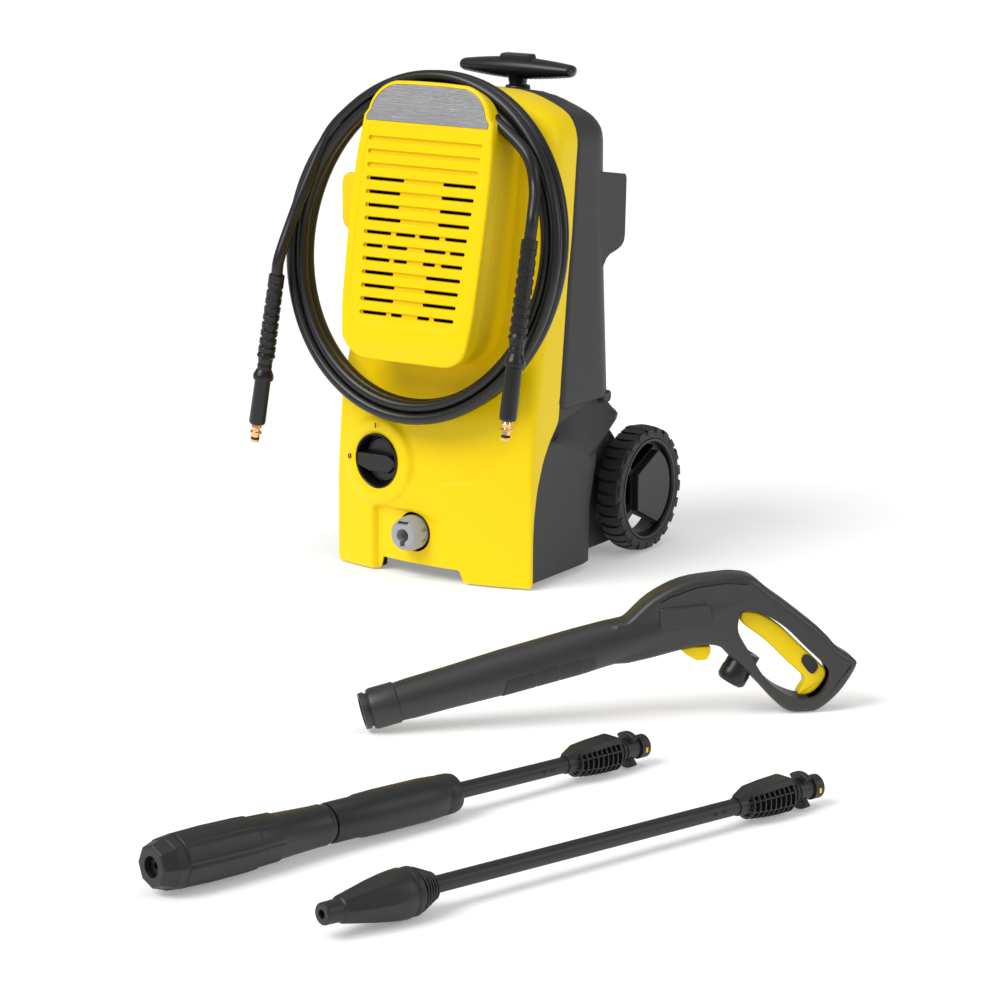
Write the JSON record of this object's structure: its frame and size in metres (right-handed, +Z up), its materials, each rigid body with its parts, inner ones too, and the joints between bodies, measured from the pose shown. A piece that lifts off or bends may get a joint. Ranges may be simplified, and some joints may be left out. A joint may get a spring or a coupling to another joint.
{
  "type": "pressure washer",
  "caption": "Upright home pressure washer on two wheels with a pull-up handle, hose coiled on its louvred front, a spray gun and two lances.",
  "frame": {"origin": "on the floor, in the middle of the ground area that the machine, gun and lances take up together", "axes": "+Z up, -Y the way the machine's front faces, +X to the right of someone facing the front"},
  "size_m": [1.0494, 1.4442, 0.6071],
  "materials": {
    "yellow_shell": "satin moulded",
    "dark_shell": "fine grained",
    "black_plastic": "satin moulded",
    "hose": "satin",
    "soft_rubber": "matt",
    "tyre": "matt moulded",
    "grey_plastic": "satin moulded",
    "brushed_plate": "brushed",
    "steel": "turned",
    "brass": "turned",
    "copper": "drawn tube",
    "cast_metal": "cast"
  },
  "bodies": {
    "root": {"front_shell": "yellow_shell", "hose_column": "yellow_shell", "front_cover": "yellow_shell", "badge_plate": "brushed_plate", "rear_shell": "dark_shell", "chassis": "dark_shell", "holder_left": "dark_shell", "holder_right": "dark_shell", "dial_bezel": "black_plastic", "switch_box": "dark_shell", "outlet_housing": "black_plastic", "water_inlet": "black_plastic", "cable_gland": "soft_rubber", "handle_guide": "black_plastic", "axle": "steel", "axle_clip_left": "steel", "axle_clip_right": "steel", "foot_left": "soft_rubber", "foot_right": "soft_rubber", "motor_housing": "cast_metal", "pump_head": "cast_metal", "piston_1": "steel", "piston_2": "steel", "piston_3": "steel", "pressure_switch": "black_plastic", "capacitor": "cast_metal", "delivery_pipe": "copper", "suction_pipe": "soft_rubber", "shell_screw_left": "steel", "shell_screw_right": "steel", "hose_coil": "hose", "hose_tail_left": "hose", "hose_tail_right": "hose", "hose_grip_left": "black_plastic", "hose_grip_right": "black_plastic", "hose_nipple_left": "brass", "hose_nipple_right": "brass"},
    "wheel_left": {"tyre_left": "tyre", "wheel_left": "black_plastic"},
    "wheel_right": {"tyre_right": "tyre", "wheel_right": "black_plastic"},
    "handle": {"handle_tube": "steel", "handle_grip": "black_plastic"},
    "handle_button": {"handle_button": "black_plastic"},
    "dial": {"dial_knob": "black_plastic"},
    "outlet_release": {"outlet_release": "grey_plastic"},
    "rotor": {"motor_rotor": "steel", "wobble_plate": "steel"},
    "gun": {"gun_body": "dark_shell", "gun_hose_socket": "black_plastic"},
    "gun_trigger": {"gun_trigger": "yellow_shell"},
    "gun_trigger_lock": {"gun_trigger_lock": "black_plastic"},
    "gun_hose_latch": {"gun_hose_latch": "yellow_shell"},
    "vario": {"vario_grip": "dark_shell", "vario_tube": "black_plastic", "vario_coupling": "black_plastic"},
    "vario_sleeve": {"vario_sleeve": "dark_shell"},
    "blaster": {"blaster_nose": "black_plastic", "blaster_tube": "black_plastic", "blaster_coupling": "black_plastic"}
  },
  "joints": [
    {"name": "wheel_left_spin", "type": "hinge", "parent": "root", "child": "wheel_left", "pos_m": [-0.4667, 0.64546, 0.0766], "axis": [1, 0, 0], "continuous": true},
    {"name": "wheel_right_spin", "type": "hinge", "parent": "root", "child": "wheel_right", "pos_m": [-0.1942, 0.64546, 0.0766], "axis": [1, 0, 0], "continuous": true},
    {"name": "handle_slide", "type": "slide", "parent": "root", "child": "handle", "axis": [0, 0, 1], "range_m": [0, 0.25]},
    {"name": "handle_button_press", "type": "slide", "parent": "handle", "child": "handle_button", "axis": [0, 0, -1], "range_m": [0, 0.003], "stiffness_N_per_m": 900},
    {"name": "dial_turn", "type": "hinge", "parent": "root", "child": "dial", "pos_m": [-0.40046, 0.39245, 0.134], "axis": [-0.1564, -0.9877, 0], "range_deg": [-90, 0]},
    {"name": "outlet_press", "type": "slide", "parent": "root", "child": "outlet_release", "axis": [0, 1, 0], "range_m": [0, 0.003], "stiffness_N_per_m": 1500},
    {"name": "motor_spin", "type": "hinge", "parent": "root", "child": "rotor", "pos_m": [-0.33045, 0.50446, 0.163], "axis": [0, 0, 1], "continuous": true},
    {"name": "gun_lift", "type": "slide", "parent": "root", "child": "gun", "axis": [0, 0, 1], "range_m": [0, 0.3]},
    {"name": "gun_trigger_pull", "type": "hinge", "parent": "gun", "child": "gun_trigger", "pos_m": [0.26376, 0.09765, 0.1062], "axis": [0.6794, -0.7337, 0], "range_deg": [0, 7], "stiffness_Nm_per_rad": 4, "springref_deg": -5.73},
    {"name": "gun_trigger_lock_slide", "type": "slide", "parent": "gun_trigger", "child": "gun_trigger_lock", "axis": [-0.6794, 0.7337, 0], "range_m": [0, 0.003]},
    {"name": "gun_hose_latch_slide", "type": "slide", "parent": "gun", "child": "gun_hose_latch", "axis": [0.7337, 0.6794, 0], "range_m": [0, 0.004], "stiffness_N_per_m": 600},
    {"name": "vario_lift", "type": "slide", "parent": "root", "child": "vario", "axis": [0, 0, 1], "range_m": [0, 0.3]},
    {"name": "vario_turn", "type": "hinge", "parent": "vario", "child": "vario_sleeve", "pos_m": [0.09904, -0.70734, 0.0282], "axis": [0.2681, 0.9633, -0.0162], "range_deg": [0, 180]},
    {"name": "blaster_lift", "type": "slide", "parent": "root", "child": "blaster", "axis": [0, 0, 1], "range_m": [0, 0.3]}
  ]
}
